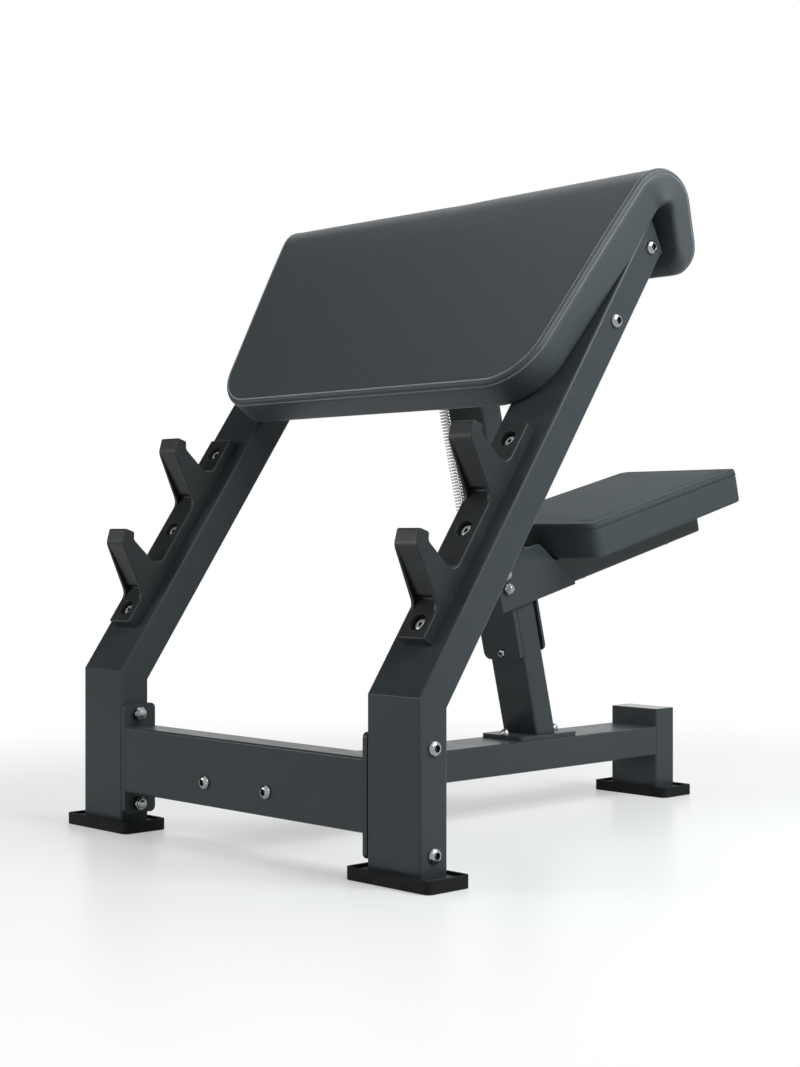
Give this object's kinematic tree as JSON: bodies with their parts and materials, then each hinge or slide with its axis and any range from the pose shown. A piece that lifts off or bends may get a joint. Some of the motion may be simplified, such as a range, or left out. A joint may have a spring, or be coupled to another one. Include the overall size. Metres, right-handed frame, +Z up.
{
  "type": "preacher curl bench",
  "caption": "Free-standing preacher curl bench: bent steel legs with bar catches, a rolled arm pad, and a padded seat that slides on a leaning post and is eased by a lift spring.",
  "frame": {"origin": "on the floor, under the middle of the bench's overall box", "axes": "+X to the lifter's right hand as seen from the front, +Y from the front legs back to the seat, +Z up"},
  "size_m": [0.808, 1.0422, 0.9733],
  "materials": {
    "frame_paint": "satin powder coat, dark graphite",
    "pad_leather": "grained black upholstery",
    "catch_plastic": "black moulded plastic",
    "boot_rubber": "black rubber",
    "bright_steel": "bright zinc plate",
    "cap_plastic": "dark plastic",
    "liner_plastic": "dark friction plastic",
    "board_ply": "raw plywood"
  },
  "bodies": {
    "frame": {"left_leg": "frame_paint", "right_leg": "frame_paint", "left_foot_plate": "frame_paint", "right_foot_plate": "frame_paint", "rear_foot_plate": "frame_paint", "front_cross_tube": "frame_paint", "left_front_end_plate": "frame_paint", "right_front_end_plate": "frame_paint", "base_rail": "frame_paint", "rail_flange": "frame_paint", "rear_leg": "frame_paint", "post_base_plate": "frame_paint", "seat_post": "frame_paint", "post_top_flange": "frame_paint", "top_cross_tube": "frame_paint", "left_top_end_plate": "frame_paint", "right_top_end_plate": "frame_paint", "pad_mount_plate": "frame_paint", "spring_lug": "frame_paint", "left_leg_cap": "cap_plastic", "right_leg_cap": "cap_plastic", "rear_leg_cap": "cap_plastic", "left_foot_boot": "boot_rubber", "right_foot_boot": "boot_rubber", "rear_foot_boot": "boot_rubber", "arm_pad_board": "board_ply", "arm_pad": "pad_leather", "left_bar_catch": "catch_plastic", "right_bar_catch": "catch_plastic", "frame_bolts": "bright_steel", "frame_nuts": "bright_steel", "catch_bolts": "bright_steel", "rail_bolts": "bright_steel", "rail_nuts": "bright_steel", "post_base_bolts": "bright_steel", "post_top_bolts": "bright_steel", "pad_screws": "bright_steel", "spring_pin": "bright_steel", "spring_pin_nut": "bright_steel", "lift_spring": "bright_steel"},
    "seat_carriage": {"front_guide": "frame_paint", "rear_guide": "frame_paint", "left_gusset": "frame_paint", "right_gusset": "frame_paint", "seat_tube": "frame_paint", "front_liner": "liner_plastic", "rear_liner": "liner_plastic", "seat_tube_cap": "cap_plastic", "seat_board": "board_ply", "seat_pad": "pad_leather", "cross_bolts": "bright_steel", "cross_nuts": "bright_steel", "front_liner_screw": "bright_steel", "rear_liner_screw": "bright_steel", "seat_bolts": "bright_steel"}
  },
  "joints": [
    {"name": "seat_slide", "type": "slide", "parent": "frame", "child": "seat_carriage", "axis": [0, -0.2419, 0.9703], "range_m": [-0.1, 0.12], "deforming": ["lift_spring"]}
  ]
}
